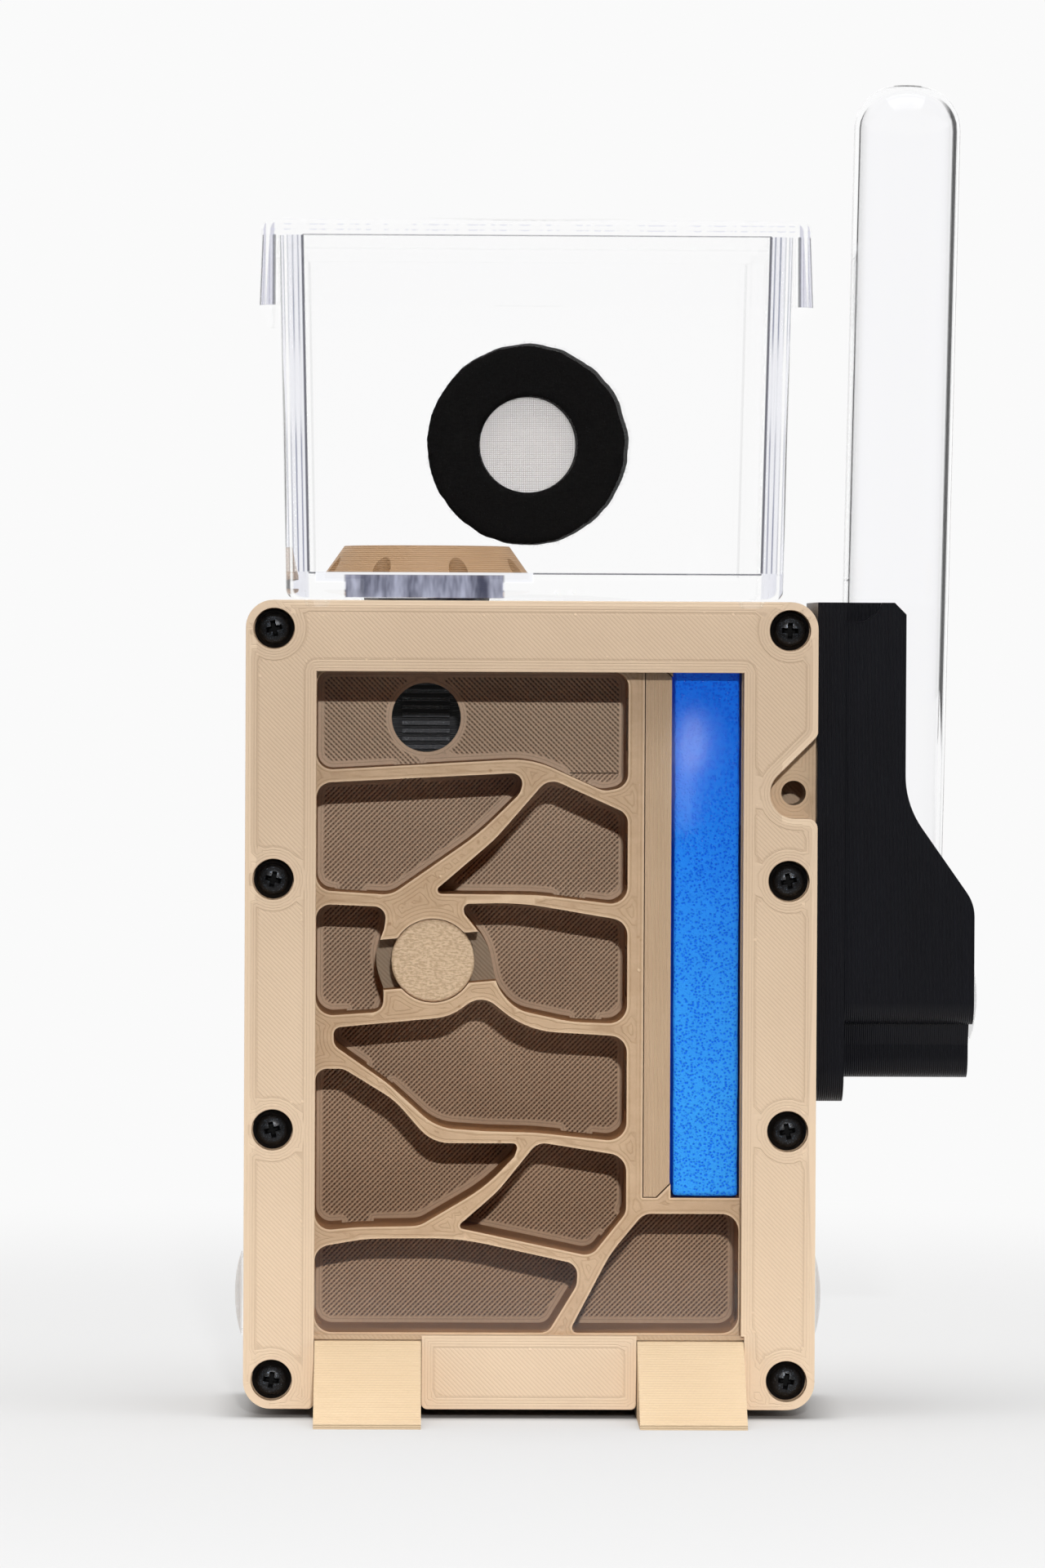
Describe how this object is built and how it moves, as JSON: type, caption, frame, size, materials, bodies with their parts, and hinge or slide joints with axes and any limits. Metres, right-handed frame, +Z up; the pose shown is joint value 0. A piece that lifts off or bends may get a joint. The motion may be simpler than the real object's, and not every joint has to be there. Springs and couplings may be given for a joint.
{
  "type": "ant habitat",
  "caption": "Upright ant nest: printed chambers behind a clear framed window, a clear feeding box on top, a side holder with an upturned water tube, and wedge feet.",
  "frame": {"origin": "on the table, under the middle of the whole object's bounding box", "axes": "+X to the viewer's right, +Y away from the viewer (the window faces -Y), +Z up"},
  "size_m": [0.1144, 0.0826, 0.2042],
  "materials": {
    "tan_print": "3-D printed, fine layer lines",
    "tan_print_frame": "3-D printed, top surface lines",
    "black_print": "3-D printed, satin, upright layer lines",
    "clear_acrylic": "clear, flat",
    "clear_styrene": "clear moulded plastic",
    "tube_glass": "thin clear glass",
    "clear_plug": "clear soft plastic",
    "black_steel": "black oxide, glossy",
    "blue_sponge": "open-cell foam, fine pores",
    "black_felt": "felt",
    "steel_mesh": "fine woven wire"
  },
  "bodies": {
    "nest": {"nest_body": "tan_print", "nest_back": "tan_print", "fill_block": "tan_print", "window_pane": "clear_acrylic", "front_frame": "tan_print_frame", "frame_screws": "black_steel", "hydration_sponge": "blue_sponge", "sponge_grate": "tan_print", "entrance_elbow": "black_print", "outworld_box": "clear_styrene", "vent_mesh": "steel_mesh", "vent_ring": "black_felt"},
    "lid": {"outworld_lid": "clear_styrene"},
    "nut": {"ring_nut": "tan_print"},
    "gate": {"gate_knob": "tan_print"},
    "left_plug": {"left_port_plug": "clear_plug"},
    "right_plug": {"right_port_plug": "clear_plug"},
    "tower": {"tube_holder": "black_print"},
    "tower_plug": {"tower_port_plug": "clear_plug"},
    "tube": {"test_tube": "tube_glass"},
    "foot_left": {"left_foot": "tan_print"},
    "foot_right": {"right_foot": "tan_print"}
  },
  "joints": [
    {"name": "lid_lift", "type": "slide", "parent": "nest", "child": "lid", "axis": [0, 0, 1], "range_m": [0, 0.05]},
    {"name": "nut_turn", "type": "hinge", "parent": "nest", "child": "nut", "pos_m": [-0.02807, 0.00725, 0.1279], "axis": [0, 0, 1], "range_deg": [0, 360]},
    {"name": "gate_turn", "type": "hinge", "parent": "nest", "child": "gate", "pos_m": [-0.02695, -0.0118, 0.06946], "axis": [0, 1, 0], "range_deg": [0, 90]},
    {"name": "left_plug_pull", "type": "slide", "parent": "nest", "child": "left_plug", "axis": [-1, 0, 0], "range_m": [0, 0.012]},
    {"name": "right_plug_pull", "type": "slide", "parent": "nest", "child": "right_plug", "axis": [1, 0, 0], "range_m": [0, 0.012]},
    {"name": "tower_pull", "type": "slide", "parent": "nest", "child": "tower", "axis": [1, 0, 0], "range_m": [0, 0.012]},
    {"name": "tower_plug_pull", "type": "slide", "parent": "tower", "child": "tower_plug", "axis": [1, 0, 0], "range_m": [0, 0.012]},
    {"name": "tube_lift", "type": "slide", "parent": "tower", "child": "tube", "axis": [0.0192, 0, 0.9998], "range_m": [0, 0.075]},
    {"name": "left_foot_drop", "type": "slide", "parent": "nest", "child": "foot_left", "axis": [0, 0, -1], "range_m": [0, 0.015]},
    {"name": "right_foot_drop", "type": "slide", "parent": "nest", "child": "foot_right", "axis": [0, 0, -1], "range_m": [0, 0.015]}
  ]
}
